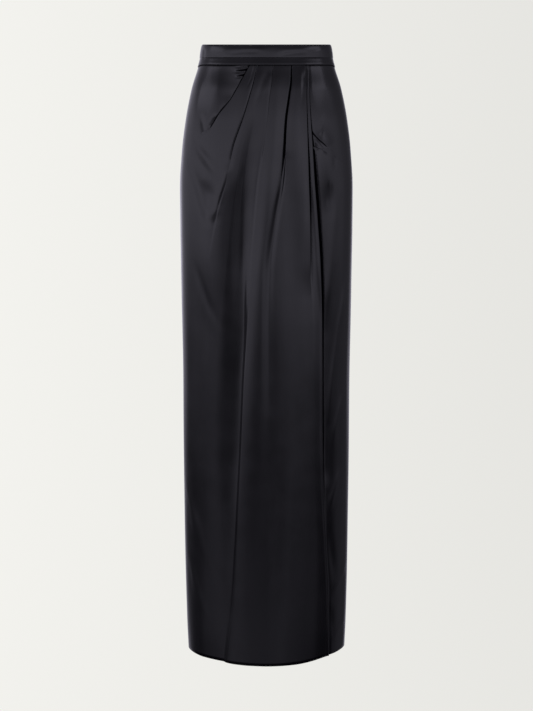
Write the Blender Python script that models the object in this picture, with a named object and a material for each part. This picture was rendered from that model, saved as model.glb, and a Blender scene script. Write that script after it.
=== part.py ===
"""A long column skirt in satin: a waistband, a pleated wrap front with a free edge,
an under front, two slanted pockets and a two-piece back with a zip.

Units are metres, +Z is up, the front faces -Y. The origin is the middle of the waist,
level with the waistband's top edge. "Below" is always the depth under that edge.
"""

import math

import bmesh
import bpy
import numpy as np

MM = 0.001

# Driving sizes
LENGTH = 1.116  # waistband's top edge to hem
BAND_HEIGHT = 0.036
BAND_OUT = 0.0010  # how far the waistband stands outside the skirt's body line
BAND_WALL = 0.0026
BAND_BULGE = 0.0003  # how much more it stands out half way down
BAND_EDGE = 0.0010  # how far down its rounded top edge reaches, and how far in
BAND_COLUMNS = 72
CLOTH = 0.0014  # every panel's wall
SEAM = 0.0004  # clear gap between two pieces that are sewn together
TUCK = 0.0019  # a layer lies this far inside the one that covers it
PARTING = 0.035  # layers that meet at the waistband's edge part over this depth

# The under front: its hidden edge right of the centre, how far inside it lies where the
# wrap hides it, and how far round it takes to sink there and to come out again
UNDER_EDGE_X = 0.018
UNDER_DROP = 0.0055
UNDER_SINK = 0.022
UNDER_RISE = 0.030
UNDER_SHORTER = 0.003

# The pockets' facings: how far they run in under the mouth, how far inside the panel they
# lie at the mouth and how much further under it, and over what run they rise and sink
POCKET_FACING = 0.026
FACING_TUCK = 0.0026
FACING_DROP = 0.0020
FACING_RISE = 0.040
FACING_SINK = (0.006, 0.015)  # where the drop starts, past the mouth, and its run
GAPE = {"depth": 0.0040, "past_mouth": 0.004, "half_width": 0.014}
GAPE_STARTS = (0.040, 0.030)  # below the waist, and the depth over which it opens
GAPE_ENDS = (0.020, 0.030)  # past the mouth's lower end, and the depth over which it closes

# The body line that the cloth follows, one row a level, in mm:
# below the waist, half width, front depth, back depth, and the power of its rounding
SECTIONS = (
    (0, 114.2, 94, 94, 2.00),
    (12, 116.9, 96.2, 96.5, 2.00),
    (36, 121.5, 99, 100, 2.00),
    (80, 134.2, 107, 112, 2.05),
    (135, 145.0, 112, 124, 2.10),
    (190, 151.8, 114, 131, 2.10),
    (260, 155.8, 115, 133, 2.10),
    (330, 155.5, 115, 131, 2.10),
    (450, 153.9, 116, 127, 2.05),
    (600, 151.6, 117, 124, 2.00),
    (780, 151.0, 118, 122, 1.95),
    (940, 149.5, 119, 121, 1.90),
    (1060, 147.3, 120, 120, 1.88),
    (1116, 145.0, 120, 120, 1.86),
)

# Where each fold line of the wrap front runs, in mm right of the centre, one row a level
LINES = ("pleat_1", "valley", "pleat_2", "pleat_3", "crest", "last_pleat", "free_edge")
LINE_X = (
    (36, -18, -4, 10, 43, 58, 71, 77),
    (60, -23, -7, 9, 43, 58, 72, 77),
    (90, -32, -14, 5, 40, 57, 73.5, 78),
    (130, -45, -25, 0, 35, 55, 75, 80),
    (180, -59, -36, -7, 32, 54, 76.5, 83),
    (240, -74, -44, -15, 27, 53, 77.5, 86.5),
    (300, -89, -48, -22, 17, 52, 80, 92),
    (400, -100, -48, -29, 4, 50, 81, 98),
    (550, -106, -55, -35, 2, 50, 83, 99),
    (700, -110, -62, -40, 4, 50, 83, 98),
    (850, -112, -70, -46, 6, 52, 88, 103),
    (1000, -114, -80, -58, 8, 54, 95, 111),
    (1116, -116, -90, -72, 8, 54, 97, 112),
)
# How far the wrap front stands off the body line there, in mm: first the left side seam
RELIEF = (
    (36, 0, 0, 0, 0, 0, 0, 0, 0),
    (60, 0, 0.5, -0.5, 0.5, 0.2, 0.8, 0.5, 0.5),
    (90, 0, 1.0, -1.0, 1.0, 0.5, 1.5, 1.0, 1.0),
    (130, 0, 1.0, -1.5, 1.5, 0.5, 2.0, 1.5, 1.5),
    (180, 0, 1.5, -1.5, 2.0, 0.5, 3.0, 2.0, 2.0),
    (240, 0, 2.0, -2.0, 3.0, 0.5, 4.0, 3.0, 2.5),
    (300, 0, 1.5, -3.0, 4.0, 0.5, 5.0, 4.0, 3.0),
    (400, 0, 1.0, -6.0, 5.0, 0.5, 5.0, 4.5, 4.0),
    (550, 0, 2.0, -8.0, 5.5, 0.8, 5.0, 4.5, 4.0),
    (700, 0, 3.0, -8.0, 5.5, 1.0, 5.0, 4.5, 4.0),
    (850, 0, 3.0, -6.0, 4.5, 1.0, 5.0, 4.0, 4.0),
    (1000, 0, 3.0, -3.0, 4.0, 1.0, 4.5, 4.0, 4.0),
    (1116, 0, 3.0, -1.5, 3.0, 1.0, 4.0, 4.0, 4.0),
)
# The pleats' folded edges, in mm: how high each one's upper layer lies over the lower one
PLEATS = ("pleat_1", "pleat_2", "pleat_3", "last_pleat")
PLEAT_HIGH_SIDE = {"pleat_1": 1, "pleat_2": 1, "pleat_3": 1, "last_pleat": -1}
PLEAT_HEIGHT = (
    (36, 1.4, 1.0, 1.6, 1.2),
    (60, 2.6, 1.8, 3.6, 2.0),
    (90, 3.2, 1.8, 4.6, 2.2),
    (130, 3.2, 1.4, 5.0, 2.6),
    (180, 2.8, 0.8, 4.4, 3.6),
    (240, 2.2, 0.2, 2.4, 4.4),
    (300, 1.2, 0.0, 1.0, 4.2),
    (380, 0.2, 0.0, 0.0, 2.4),
    (450, 0.0, 0.0, 0.0, 0.2),
    (550, 0.0, 0.0, 0.0, 0.0),
)
PLEAT_STEP = 1.6 * MM  # half width of a pleat's step
PLEAT_REACH = 17 * MM  # how far its upper layer stays raised
PLEAT_COLUMNS = (-5.0, -1.8, -0.6, 0.6, 1.8, 5.0)  # mm from a pleat's edge
PLEAT_CLEAR = 6.0  # mm: where a pleat has less room than this, its columns draw together
WRAP_PARTS = (9, 2, 2, 4, 3, 2, 2)  # columns between the wrap front's lines

# The mouths of the slanted pockets, and the seams that carry them on to the side seams:
# mm below the waist, mm from the centre. The last row is the side seam, and the row
# MOUTH_END is the mouth's lower end.
POCKET_LEFT = ((36, 29), (60, 42), (95, 62), (118, 80), (149, 100), (175, 126), (207, 152))
POCKET_RIGHT = ((36, 30), (80, 42), (120, 58), (157, 82), (184, 108), (207, 132), (240, 155))
MOUTH_END = 4

# Long soft folds, in mm: where each starts and ends, below the waist and round from the
# centre of its own panel, its half width and its height, below nought for a trough
LEFT_FOLDS = (
    # from_below, from_round, to_below, to_round, half_width, height
    (165, -112, 230, -98, 9, -2.0),
    (215, -150, 330, -105, 10, -3.0),
    (390, -135, 560, -85, 14, -2.0),
    (800, -175, 1000, -120, 14, 3.0),
    (930, -160, 1060, -105, 12, 3.0),
)
UNDER_FOLDS = (
    (440, 165, 760, 108, 12, 4.0),
    (640, 150, 830, 122, 10, -3.5),
    (790, 145, 930, 112, 10, 3.5),
    (900, 130, 1050, 112, 9, -4.0),
    (980, 160, 1060, 120, 10, 3.0),
)
BACK_FOLDS = (
    (130, -95, 420, -80, 20, -2.5),
    (300, -150, 760, -95, 22, 3.5),
    (520, -62, 1116, -72, 20, -4.0),
    (640, -120, 1116, -132, 18, 4.0),
    (160, 105, 460, 88, 20, -2.5),
    (360, 155, 820, 110, 22, 3.5),
    (560, 70, 1116, 60, 20, -4.5),
    (700, 128, 1116, 118, 18, 3.5),
)
FOLD_ENDS = 0.3  # the share of a fold's length over which it starts, and ends
FOLD_RUNS_OUT = 1.5  # a fold that reaches the hem would end this many lengths down
DART = {"round": 0.052, "length": 0.110, "half_width": 5 * MM, "depth": 1.6 * MM}
CENTRE_FLAT = 0.030  # the back lies flat this near its centre seam
PANEL_PARTS = {"under": 18, "pocket": 16, "back": 16}

# The zip up the centre of the back
ZIP_TOP = 0.002
ZIP_LENGTH = 0.205
ZIP_PARTS = 14
ZIP_SLIT = 0.0010  # the waistband's two ends stand this far apart
TAPE_HALF_WIDTH = 0.011
TAPE_WALL = 0.0008
COIL_HALF_WIDTH = 0.0019
COIL_WALL = 0.0014
SLIDER_BELOW = 0.0085
SLIDER_SLOPE = 0.004  # the slope is taken this far above and below it
SLIDER_PLATE = {"width": 0.0052, "height": 0.0094, "wall": 0.0010}
SLIDER_CORNERS = {"waist": 0.6, "low": 0.8, "high": 0.6}  # shares of half its width and height
BAIL_WIDTH = 0.0014
BAIL_HALF_HEIGHT = 0.0040
BAIL_REACH = 0.0042
BAIL_EYE_HALF_HEIGHT = 0.0025
BAIL_EYE = (0.0010, 0.0032)
BAIL_SINK = 0.4  # the share of the plate's wall that the bail reaches into
PIVOT_OUT = 0.0021
PULL_WALL = 0.0010
PULL_LENGTH = 0.0210
PULL_ROUND = {"share": 0.86, "swell": 1.2, "turn": (1.25, 0.5)}  # its round end starts at the share
PULL_SIDES = 3  # points on each side of its outline
PULL_HALF_WIDTH = (0.0026, 0.0034)  # at its top and at its round end
PULL_WINDOW_HALF_WIDTH = 0.0013
PULL_WINDOW = (0.0006, 0.0050)  # below the pivot

RING_STEPS = 721
ALONG = 0.001  # the step along a ring that gives its direction
LEVELS = (
    0, 12, 24, 40, 56, 72, 89, 106, 123, 140, 157, 175, 192, 207, 222, 240, 270, 305, 355,
    410, 475, 545, 620, 700, 780, 860, 935, 1005, 1060, 1116,
)
LEVEL_GAP = 0.006  # a panel has no row nearer than this to its first or last one

BLACK_SATIN = (0.020, 0.020, 0.024)
INNER_BLACK = (0.030, 0.030, 0.034)
DARK_METAL = (0.090, 0.090, 0.095)


def remove_everything():
    for thing in list(bpy.data.objects):
        bpy.data.objects.remove(thing, do_unlink=True)


def material(name, colour, roughness, metallic=0.0):
    made = bpy.data.materials.new(name)
    made.use_nodes = True
    shader = made.node_tree.nodes["Principled BSDF"]
    shader.inputs["Base Color"].default_value = (*colour, 1)
    shader.inputs["Roughness"].default_value = roughness
    shader.inputs["Metallic"].default_value = metallic
    return made


def monotone(xs, ys, x):
    """Smooth values between a table's rows, which never overshoot them."""
    xs, ys = np.asarray(xs, float), np.asarray(ys, float)
    step = np.diff(xs)
    slope = np.diff(ys) / step
    inner = np.zeros(len(xs) - 2)
    same = slope[1:] * slope[:-1] > 0
    inner[same] = 2 / (1 / slope[1:][same] + 1 / slope[:-1][same])
    grade = np.concatenate([slope[:1], inner, slope[-1:]])
    x = np.clip(x, xs[0], xs[-1])
    i = np.clip(np.searchsorted(xs, x) - 1, 0, len(step) - 1)
    t = (x - xs[i]) / step[i]
    rise = grade[i] * step[i] * t * (1 - t) ** 2 - grade[i + 1] * step[i] * t**2 * (1 - t)
    return ys[i] * (1 + 2 * t) * (1 - t) ** 2 + ys[i + 1] * t**2 * (3 - 2 * t) + rise


def column(table, which, below):
    """One column of a table in mm, read at a depth in metres."""
    rows = np.asarray(table, float)
    return monotone(rows[:, 0] * MM, rows[:, which], below)


def smooth(t):
    """From 0 to 1 with level ends."""
    t = np.clip(t, 0, 1)
    return t * t * (3 - 2 * t)


class Ring:
    """The body line at one level. Places on it are arc lengths from the front centre,
    positive towards +X, and `out` is the distance outwards."""

    def __init__(self, below):
        half_width, front, back = (column(SECTIONS, k, below) * MM for k in (1, 2, 3))
        power = 2 / column(SECTIONS, 4, below)
        turn = np.linspace(-math.pi, math.pi, RING_STEPS)
        sine, cosine = np.sin(turn), np.cos(turn)
        depth = np.where(cosine > 0, front, back)
        self.x = half_width * np.sign(sine) * np.abs(sine) ** power
        self.y = -depth * np.sign(cosine) * np.abs(cosine) ** power
        run = np.hypot(np.diff(self.x), np.diff(self.y))
        length = np.concatenate([[0], np.cumsum(run)])
        self.place = length - length[RING_STEPS // 2]
        self.half = self.place[-1]
        self.side = np.interp(math.pi / 2, turn, self.place)
        self.front = np.abs(turn) <= math.pi / 2

    def from_x(self, x):
        return np.interp(x, self.x[self.front], self.place[self.front])

    def points(self, place, out):
        """World x and y at places round the ring, pushed outwards by out."""
        place = (np.asarray(place, float) + self.half) % (2 * self.half) - self.half
        ahead = (place + ALONG + self.half) % (2 * self.half) - self.half
        behind = (place - ALONG + self.half) % (2 * self.half) - self.half
        along_x = np.interp(ahead, self.place, self.x) - np.interp(behind, self.place, self.x)
        along_y = np.interp(ahead, self.place, self.y) - np.interp(behind, self.place, self.y)
        size = np.hypot(along_x, along_y)
        x = np.interp(place, self.place, self.x) + out * along_y / size
        y = np.interp(place, self.place, self.y) - out * along_x / size
        return x, y


def line_place(name, below):
    """Where a fold line of the wrap front is at a level."""
    return Ring(below).from_x(column(LINE_X, 1 + LINES.index(name), below) * MM)


def pocket_place(table, way, below):
    """Where a pocket's mouth, or the seam below it, is at a level; the side seam under it."""
    rows = np.asarray(table, float) * MM
    places = [Ring(d).from_x(way * x) for d, x in rows[:-1]]
    places.append(way * Ring(rows[-1, 0]).side)
    if below >= rows[-1, 0]:
        return way * Ring(below).side
    return float(monotone(rows[:, 0], places, below))


def pleat_profile(from_edge):
    """The rise from a pleat's lower layer to its upper one, which sinks back further on."""
    rise = 0.5 + 0.5 * np.tanh(from_edge / PLEAT_STEP)
    return rise * np.exp(-((np.maximum(from_edge, 0) / PLEAT_REACH) ** 2))


def soft_folds(table, round_from, below, place):
    """The height of a table's long folds at places of one level."""
    out = np.zeros_like(place)
    here = (place - round_from) / MM
    depth = below / MM
    for from_below, from_round, to_below, to_round, half_width, height in table:
        along = (to_below - from_below, to_round - from_round)
        size = math.hypot(*along)
        t = ((depth - from_below) * along[0] + (here - from_round) * along[1]) / size**2
        end = 1 if to_below < LENGTH / MM else FOLD_RUNS_OUT
        held = smooth(t / FOLD_ENDS) * smooth((end - t) / FOLD_ENDS)
        aside = ((here - from_round) * along[0] - (depth - from_below) * along[1]) / size
        out += height * MM * held * np.exp(-((aside / half_width) ** 2))
    return out


def wrap_out(below, place):
    """How far the wrap front stands off the body line."""
    ring = Ring(below)
    at = [-ring.side] + [line_place(name, below) for name in LINES]
    relief = [column(RELIEF, k, below) * MM for k in range(1, len(LINES) + 2)]
    out = monotone(at, relief, place)
    for k, name in enumerate(PLEATS):
        height = column(PLEAT_HEIGHT, k + 1, below) * MM
        from_edge = PLEAT_HIGH_SIDE[name] * (place - line_place(name, below))
        out = out + height * pleat_profile(from_edge)
    return out + soft_folds(LEFT_FOLDS, 0, below, place)


def from_waist(below):
    """Layers are sewn together at the waist, and part below it."""
    return smooth((below - BAND_HEIGHT) / PARTING)


def under_out(below, place):
    """The under front: well inside beneath the wrap, then out to the body line."""
    edge = line_place("free_edge", below)
    hidden = smooth((edge - place) / UNDER_SINK) * from_waist(below)
    out = -TUCK * (1 - smooth((place - edge) / UNDER_RISE))
    return out - (UNDER_DROP - TUCK) * hidden + soft_folds(UNDER_FOLDS, 0, below, place)


def body_line(below, place):
    """The left pocket's facing follows the body line, not the pleats over it."""
    return np.zeros_like(place)


def facing_out(table, way, below, place):
    """A pocket's facing against the panel that covers it: behind it, and gaping at its mouth."""
    from_mouth = way * (place - pocket_place(table, way, below))
    tuck = TUCK + (FACING_TUCK - TUCK) * from_waist(below)
    behind = tuck * (1 - smooth(from_mouth / FACING_RISE))
    sink_from, sink_run = FACING_SINK
    behind += FACING_DROP * smooth((sink_from - from_mouth) / sink_run) * from_waist(below)
    (starts, opens), (ends, closes) = GAPE_STARTS, GAPE_ENDS
    last = table[MOUTH_END][0] * MM + ends
    mouth = smooth((last - below) / closes) * smooth((below - starts) / opens)
    aside = (from_mouth - GAPE["past_mouth"]) / GAPE["half_width"]
    return -behind - GAPE["depth"] * mouth * np.exp(-(aside**2))


def back_out(below, place):
    """The back: darts at the waist and long folds towards the hem."""
    half = Ring(below).half
    from_centre = np.where(place > 0, place - half, place + half)
    out = soft_folds(BACK_FOLDS, 0, below, from_centre)
    fade = smooth((DART["length"] - (below - BAND_HEIGHT)) / DART["length"])
    for way in (-1, 1):
        aside = (from_centre - way * DART["round"]) / DART["half_width"]
        out -= DART["depth"] * fade * np.exp(-(aside**2))
    return out * smooth(np.abs(from_centre) / CENTRE_FLAT)


def wrap_columns(below):
    """The wrap front's columns: close together at each pleat's edge, evenly spread between."""
    start = pocket_place(POCKET_LEFT, -1, below)
    stops = [(start + SEAM if below >= POCKET_LEFT[-1][0] * MM else start,)]
    for name in LINES[:-1]:
        place = line_place(name, below)
        near = PLEAT_COLUMNS if name in PLEATS else (0,)
        room = min(1, (place - stops[-1][-1]) / (PLEAT_CLEAR * MM))
        stops.append(tuple(place + room * d * MM for d in near))
    stops.append((line_place("free_edge", below),))
    places = [stops[0][0]]
    for before, after, parts in zip(stops, stops[1:], WRAP_PARTS):
        places += list(np.linspace(before[-1], after[0], parts + 1)[1:])
        places += list(after[1:])
    return np.array(places)


def spread(first, last, parts):
    """Even columns from one line to another."""
    return lambda below: np.linspace(first(below), last(below), parts + 1)


def levels(top, bottom, every=1):
    """The levels of a panel's rows, in metres; a plain panel needs only every second one."""
    inner = [d * MM for d in LEVELS[::every]]
    return [top] + [d for d in inner if top + LEVEL_GAP < d < bottom - LEVEL_GAP] + [bottom]


def wall_object(name, outer, inner, finish):
    """A closed wall between two grids of points."""
    mesh = bmesh.new()
    sheets = [[[mesh.verts.new(p) for p in row] for row in grid] for grid in (outer, inner)]
    rows, columns = len(outer), len(outer[0])
    for r in range(rows - 1):
        for c in range(columns - 1):
            for grid, turn in zip(sheets, (1, -1)):
                corners = [grid[r][c], grid[r + 1][c], grid[r + 1][c + 1], grid[r][c + 1]]
                mesh.faces.new(corners[::turn])
    front, back = sheets
    around = [(r, 0) for r in range(rows)] + [(rows - 1, c) for c in range(1, columns)]
    around += [(r, columns - 1) for r in range(rows - 2, -1, -1)]
    around += [(0, c) for c in range(columns - 2, 0, -1)]
    for (r0, c0), (r1, c1) in zip(around, around[1:] + around[:1]):
        mesh.faces.new([front[r1][c1], front[r0][c0], back[r0][c0], back[r1][c1]])
    return finished(name, mesh, finish)


def finished(name, mesh, finish):
    bmesh.ops.recalc_face_normals(mesh, faces=mesh.faces)
    data = bpy.data.meshes.new(name)
    mesh.to_mesh(data)
    mesh.free()
    data.shade_smooth()
    data.materials.append(finish)
    made = bpy.data.objects.new(name, data)
    bpy.context.scene.collection.objects.link(made)
    return made


def panel(name, belows, columns, out, finish, wall=CLOTH):
    """A panel of cloth: at each level a row of outer points, and its wall inside them."""
    outer, inner = [], []
    for below in belows:
        place = columns(below)
        x, y = Ring(below).points(place, out(below, place))
        along_x, along_y = np.gradient(x), np.gradient(y)
        size = np.hypot(along_x, along_y)
        depth = np.full_like(x, -below)
        outer.append(np.c_[x, y, depth])
        inner.append(np.c_[x - wall * along_y / size, y + wall * along_x / size, depth])
    return wall_object(name, outer, inner, finish)


def make_waistband(finish):
    """A stiff band, with its two ends meeting over the zip."""
    inside = BAND_OUT - BAND_WALL
    profile = (
        # below, out
        (BAND_HEIGHT, inside),
        (2 / 3 * BAND_HEIGHT, inside),
        (1 / 3 * BAND_HEIGHT, inside),
        (BAND_EDGE, inside),
        (0.0, inside + BAND_EDGE),
        (0.0, BAND_OUT - BAND_EDGE),
        (BAND_EDGE, BAND_OUT),
        (1 / 3 * BAND_HEIGHT, BAND_OUT + BAND_BULGE),
        (2 / 3 * BAND_HEIGHT, BAND_OUT + BAND_BULGE),
        (BAND_HEIGHT, BAND_OUT),
    )
    mesh = bmesh.new()
    loops = []
    for share in np.linspace(-1, 1, BAND_COLUMNS + 1):
        loop = []
        for below, out in profile:
            ring = Ring(below)
            place = share * (ring.half - 0.5 * ZIP_SLIT)
            x, y = ring.points([place], out)
            loop.append(mesh.verts.new((x[0], y[0], -below)))
        loops.append(loop)
    count = len(profile)
    for a, b in zip(loops, loops[1:]):
        for k in range(count):
            mesh.faces.new([a[k], a[(k + 1) % count], b[(k + 1) % count], b[k]])
    mesh.faces.new(loops[0])
    mesh.faces.new(loops[-1][::-1])
    return finished("waistband", mesh, finish)


def make_front(finish):
    top = BAND_HEIGHT + SEAM
    panel("front_wrap", levels(top, LENGTH), wrap_columns, wrap_out, finish)

    def under_left(below):
        return Ring(below).from_x(UNDER_EDGE_X)

    def under_right(below):
        place = pocket_place(POCKET_RIGHT, 1, below)
        return place - (SEAM if below >= POCKET_RIGHT[-1][0] * MM else 0)

    rows = levels(top, LENGTH - UNDER_SHORTER)
    columns = spread(under_left, under_right, PANEL_PARTS["under"])
    panel("front_under", rows, columns, under_out, finish)


def make_pocket(name, table, way, cover, finish):
    """A pocket's facing, which is also the top of the hip beside its mouth."""
    top, bottom = BAND_HEIGHT + SEAM, table[-1][0] * MM

    def inner_edge(below):
        return pocket_place(table, way, below) - way * POCKET_FACING

    def outer_edge(below):
        return way * (Ring(below).side - SEAM)

    def out(below, place):
        return cover(below, place) + facing_out(table, way, below, place)

    first, last = (inner_edge, outer_edge) if way > 0 else (outer_edge, inner_edge)
    columns = spread(first, last, PANEL_PARTS["pocket"])
    panel(name, levels(top, bottom), columns, out, finish)


def make_back(finish):
    top = BAND_HEIGHT + SEAM
    for name, way in (("back_right", 1), ("back_left", -1)):

        def at_side(below, way=way):
            return way * (Ring(below).side + SEAM)

        def at_centre(below, way=way):
            return way * (Ring(below).half - 0.5 * SEAM)

        first, last = (at_side, at_centre) if way > 0 else (at_centre, at_side)
        columns = spread(first, last, PANEL_PARTS["back"])
        panel(name, levels(top, LENGTH, 2), columns, back_out, finish)


def make_zip_tape(finish):
    """The closed zip: its tapes behind the seam, with the coil's bead inside them."""
    first = BAND_OUT - BAND_WALL - 2 * SEAM
    profile = (
        # round from the centre of the back, out
        (-TAPE_HALF_WIDTH, first),
        (0.0, first),
        (TAPE_HALF_WIDTH, first),
        (TAPE_HALF_WIDTH, first - TAPE_WALL),
        (COIL_HALF_WIDTH, first - TAPE_WALL),
        (COIL_HALF_WIDTH, first - TAPE_WALL - COIL_WALL),
        (-COIL_HALF_WIDTH, first - TAPE_WALL - COIL_WALL),
        (-COIL_HALF_WIDTH, first - TAPE_WALL),
        (-TAPE_HALF_WIDTH, first - TAPE_WALL),
    )
    mesh = bmesh.new()
    loops = []
    for below in np.linspace(ZIP_TOP, ZIP_LENGTH, ZIP_PARTS):
        ring = Ring(below)
        x, y = ring.points([ring.half + p[0] for p in profile], np.array([p[1] for p in profile]))
        loops.append([mesh.verts.new((a, b, -below)) for a, b in zip(x, y)])
    count = len(profile)
    for a, b in zip(loops, loops[1:]):
        for k in range(count):
            mesh.faces.new([a[k], a[(k + 1) % count], b[(k + 1) % count], b[k]])
    mesh.faces.new(loops[0])
    mesh.faces.new(loops[-1][::-1])
    return finished("zip_tape", mesh, finish)


def plate_with_window(mesh, outline, window, low, high, place):
    """A flat plate with a hole: two outlines of as many points, swept from low to high."""
    rings = []
    for level in (low, high):
        for loop in (outline, window):
            rings.append([mesh.verts.new(place(a, b, level)) for a, b in loop])
    low_out, low_in, high_out, high_in = rings
    count = len(outline)
    sides = ((low_out, low_in), (low_in, high_in), (high_in, high_out), (high_out, low_out))
    for a, b in sides:
        for k in range(count):
            mesh.faces.new([a[k], a[(k + 1) % count], b[(k + 1) % count], b[k]])


def box_outline(half_width, low, high, parts=3):
    """A rectangle's points, with as many on each side, from the lower left corner."""
    corners = ((-half_width, low), (half_width, low), (half_width, high), (-half_width, high))
    points = []
    for (x0, y0), (x1, y1) in zip(corners, corners[1:] + corners[:1]):
        for k in range(parts):
            points.append((x0 + (x1 - x0) * k / parts, y0 + (y1 - y0) * k / parts))
    return points


def slider_frame():
    """The slider's place on the waistband: its back, and its slope there."""
    below, step = SLIDER_BELOW, SLIDER_SLOPE
    high, low = Ring(below - step), Ring(below + step)
    y_high = high.points([high.half], BAND_OUT)[1][0]
    y_low = low.points([low.half], BAND_OUT)[1][0]
    slope = math.atan2(y_low - y_high, 2 * step)
    back = 0.5 * (y_high + y_low) + SEAM

    def place(x, up, out):
        """Out is away from the cloth, up is along it."""
        return (
            x,
            back + out * math.cos(slope) - up * math.sin(slope),
            -below + up * math.cos(slope) + out * math.sin(slope),
        )

    return place


def make_zip_slider(finish):
    """The slider's face and the bail that holds the pull."""
    place = slider_frame()
    width, height, wall = (SLIDER_PLATE[k] for k in ("width", "height", "wall"))
    mesh = bmesh.new()
    half, tall = 0.5 * width, 0.5 * height
    waist, low, high = (SLIDER_CORNERS[k] for k in ("waist", "low", "high"))
    loop = (
        (-half, -low * tall), (-waist * half, -tall), (waist * half, -tall), (half, -low * tall),
        (half, high * tall), (waist * half, tall), (-waist * half, tall), (-half, high * tall),
    )
    corners = [[mesh.verts.new(place(x, up, out)) for x, up in loop] for out in (0.0, wall)]
    count = len(corners[0])
    for k in range(count):
        n = (k + 1) % count
        mesh.faces.new([corners[0][k], corners[0][n], corners[1][n], corners[1][k]])
    mesh.faces.new(corners[0][::-1])
    mesh.faces.new(corners[1])
    slider = finished("zip_slider", mesh, finish)

    bail = bmesh.new()
    outline = [(o, u) for u, o in box_outline(BAIL_HALF_HEIGHT, BAIL_SINK * wall, BAIL_REACH)]
    window = [(o, u) for u, o in box_outline(BAIL_EYE_HALF_HEIGHT, *BAIL_EYE)]
    plate_with_window(
        bail, outline, window, -0.5 * BAIL_WIDTH, 0.5 * BAIL_WIDTH,
        lambda out, up, x: place(x, up, out),
    )
    cutter = finished("zip_bail", bail, finish)
    cutter.hide_render = True
    cutter.display_type = "WIRE"
    join = slider.modifiers.new("bail", "BOOLEAN")
    join.operation = "UNION"
    join.object = cutter
    return slider


def make_zip_pull(finish):
    """The pull: a bar through the bail's eye, two arms past it and a drop-shaped tab."""
    place = slider_frame()
    low_top, low_bottom = PULL_WINDOW
    window = box_outline(PULL_WINDOW_HALF_WIDTH, -low_bottom, -low_top, PULL_SIDES)
    top_half, end_half = PULL_HALF_WIDTH
    shares = [k / PULL_SIDES for k in range(PULL_SIDES)]
    arms = PULL_LENGTH * PULL_ROUND["share"]
    start, turn = PULL_ROUND["turn"]
    outline = []
    for t in shares:
        angle = math.pi * (start + turn * t)
        x = end_half * PULL_ROUND["swell"] * math.cos(angle)
        outline.append((x, (PULL_LENGTH - arms) * math.sin(angle) - arms))
    outline += [(end_half + (top_half - end_half) * t, -arms * (1 - t)) for t in shares]
    outline += [(top_half * (1 - 2 * t), low_top) for t in shares]
    outline += [(-top_half - (end_half - top_half) * t, -arms * t) for t in shares]
    mesh = bmesh.new()
    half = 0.5 * PULL_WALL
    plate_with_window(
        mesh, outline, window, PIVOT_OUT - half, PIVOT_OUT + half,
        lambda x, up, out: place(x, up, out),
    )
    return finished("zip_pull", mesh, finish)


def main():
    remove_everything()
    satin = material("satin", BLACK_SATIN, 0.35)
    facing = material("satin_facing", BLACK_SATIN, 0.38)
    tape = material("zip_tape", INNER_BLACK, 0.8)
    metal = material("dark_metal", DARK_METAL, 0.35, 0.9)
    make_waistband(satin)
    make_front(satin)
    make_pocket("pocket_left", POCKET_LEFT, -1, body_line, facing)
    make_pocket("pocket_right", POCKET_RIGHT, 1, under_out, facing)
    make_back(satin)
    make_zip_tape(tape)
    make_zip_slider(metal)
    make_zip_pull(metal)


main()
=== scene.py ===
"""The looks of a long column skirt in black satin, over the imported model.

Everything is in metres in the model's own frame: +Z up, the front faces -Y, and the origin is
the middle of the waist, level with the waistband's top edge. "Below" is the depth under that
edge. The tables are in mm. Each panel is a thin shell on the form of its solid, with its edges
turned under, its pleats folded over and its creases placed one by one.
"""

import functools
import math

import bmesh
import bpy
import numpy as np
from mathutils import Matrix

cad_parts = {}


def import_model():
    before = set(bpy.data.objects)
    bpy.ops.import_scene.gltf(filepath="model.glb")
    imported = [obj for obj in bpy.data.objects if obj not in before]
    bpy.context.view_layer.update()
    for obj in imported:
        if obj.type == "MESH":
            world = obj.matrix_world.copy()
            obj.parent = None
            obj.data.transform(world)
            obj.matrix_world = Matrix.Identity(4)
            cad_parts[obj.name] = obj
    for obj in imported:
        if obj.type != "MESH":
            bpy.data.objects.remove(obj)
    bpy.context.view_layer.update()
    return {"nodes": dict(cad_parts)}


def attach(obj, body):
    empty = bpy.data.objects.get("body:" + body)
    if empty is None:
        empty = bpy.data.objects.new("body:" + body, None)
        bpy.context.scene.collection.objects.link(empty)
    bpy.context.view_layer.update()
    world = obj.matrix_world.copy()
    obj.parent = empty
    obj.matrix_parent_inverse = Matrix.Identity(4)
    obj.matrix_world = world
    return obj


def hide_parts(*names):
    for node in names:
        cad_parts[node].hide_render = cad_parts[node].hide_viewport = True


MM = 0.001

# ---- sizes that the solids have too
LENGTH = 1.116
BAND_HEIGHT = 0.036
ZIP_SLIT = 0.0010
UNDER_EDGE_X = 0.018  # the under front's hidden edge
UNDER_SHORTER = 0.003
PANEL_TOP = 0.030  # every panel starts here, behind the waistband

# The body line: below, half width, front depth, back depth, and the power of its rounding
SECTIONS = (
    (0, 114.2, 94, 94, 2),
    (12, 116.9, 96.2, 96.5, 2),
    (36, 121.5, 99, 100, 2),
    (80, 134.9, 107, 112, 2.05),
    (135, 146, 112, 124, 2.1),
    (190, 152.8, 114, 131, 2.1),
    (260, 156.7, 115, 133, 2.1),
    (330, 156.4, 115, 131, 2.1),
    (450, 154.7, 116, 127, 2.05),
    (600, 152.3, 117, 124, 2),
    (780, 151.5, 118, 122, 1.95),
    (940, 149.9, 119, 121, 1.9),
    (1060, 147.6, 120, 120, 1.88),
    (1116, 145.2, 120, 120, 1.86),
)

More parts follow.
